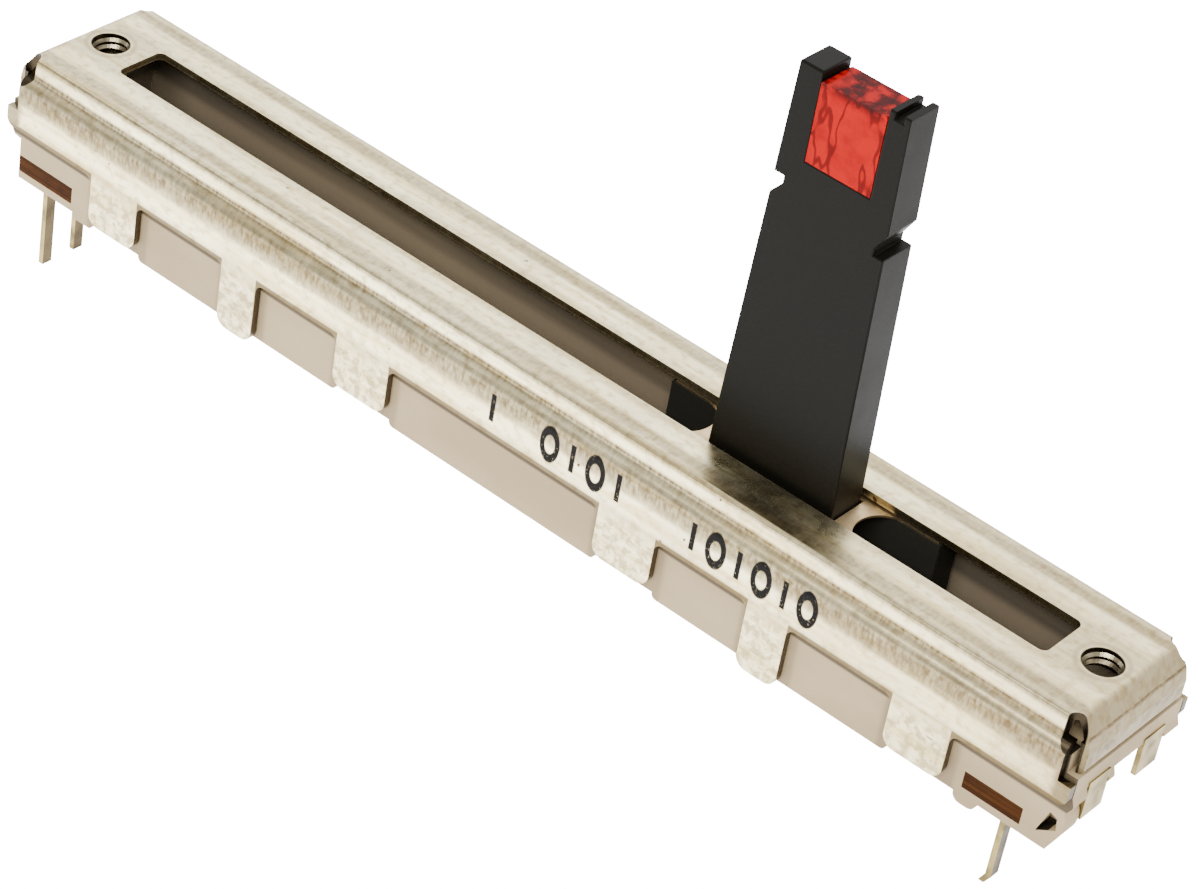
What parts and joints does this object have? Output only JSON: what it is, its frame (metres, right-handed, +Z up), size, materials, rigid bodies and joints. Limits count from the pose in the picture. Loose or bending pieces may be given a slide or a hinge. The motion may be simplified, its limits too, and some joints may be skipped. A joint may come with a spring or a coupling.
{
  "type": "slide potentiometer",
  "caption": "Slide potentiometer with a folded metal cover, moulded base, solder pins and a tall black lever with a red lamp in its forked top",
  "frame": {"origin": "middle of the two tapped holes, on the top face of the cover", "axes": "+X along the lever's travel, +Y across it, +Z up out of the cover along the lever"},
  "size_m": [0.0864, 0.012, 0.0418],
  "materials": {
    "tinned_steel": "satin tin plate on folded steel",
    "base_plastic": "light grey-beige moulded plastic",
    "phenolic_board": "brown phenolic laminate",
    "carbon_ink": "printed carbon ink",
    "silver_ink": "printed silver ink",
    "tinned_brass": "tinned brass strip",
    "carrier_plastic": "black moulded plastic",
    "lever_plastic": "black moulded plastic, satin",
    "red_epoxy": "translucent red epoxy",
    "spring_bronze": "phosphor bronze sheet"
  },
  "bodies": {
    "housing": {"cover": "tinned_steel", "base": "base_plastic", "element_board": "phenolic_board", "resistive_track_front": "carbon_ink", "resistive_track_rear": "carbon_ink", "collector_track_front": "silver_ink", "collector_track_rear": "silver_ink", "led_rail_front": "silver_ink", "led_rail_rear": "silver_ink", "terminal_left_front": "tinned_brass", "terminal_left_rear": "tinned_brass", "terminal_left_mid_front": "tinned_brass", "terminal_left_mid_rear": "tinned_brass", "terminal_right_front": "tinned_brass", "terminal_right_rear": "tinned_brass", "terminal_rivets": "tinned_brass", "lamp_terminal_front": "tinned_brass", "lamp_terminal_rear": "tinned_brass"},
    "slider": {"carrier": "carrier_plastic", "lever": "lever_plastic", "led_lamp": "red_epoxy", "led_lead_front": "tinned_brass", "led_lead_rear": "tinned_brass", "friction_spring": "spring_bronze", "wiper_front": "spring_bronze", "wiper_rear": "spring_bronze", "lamp_brush_front": "spring_bronze", "lamp_brush_rear": "spring_bronze"}
  },
  "joints": [
    {"name": "lever_slide", "type": "slide", "parent": "housing", "child": "slider", "axis": [1, 0, 0], "range_m": [-0.047, 0.013]}
  ]
}
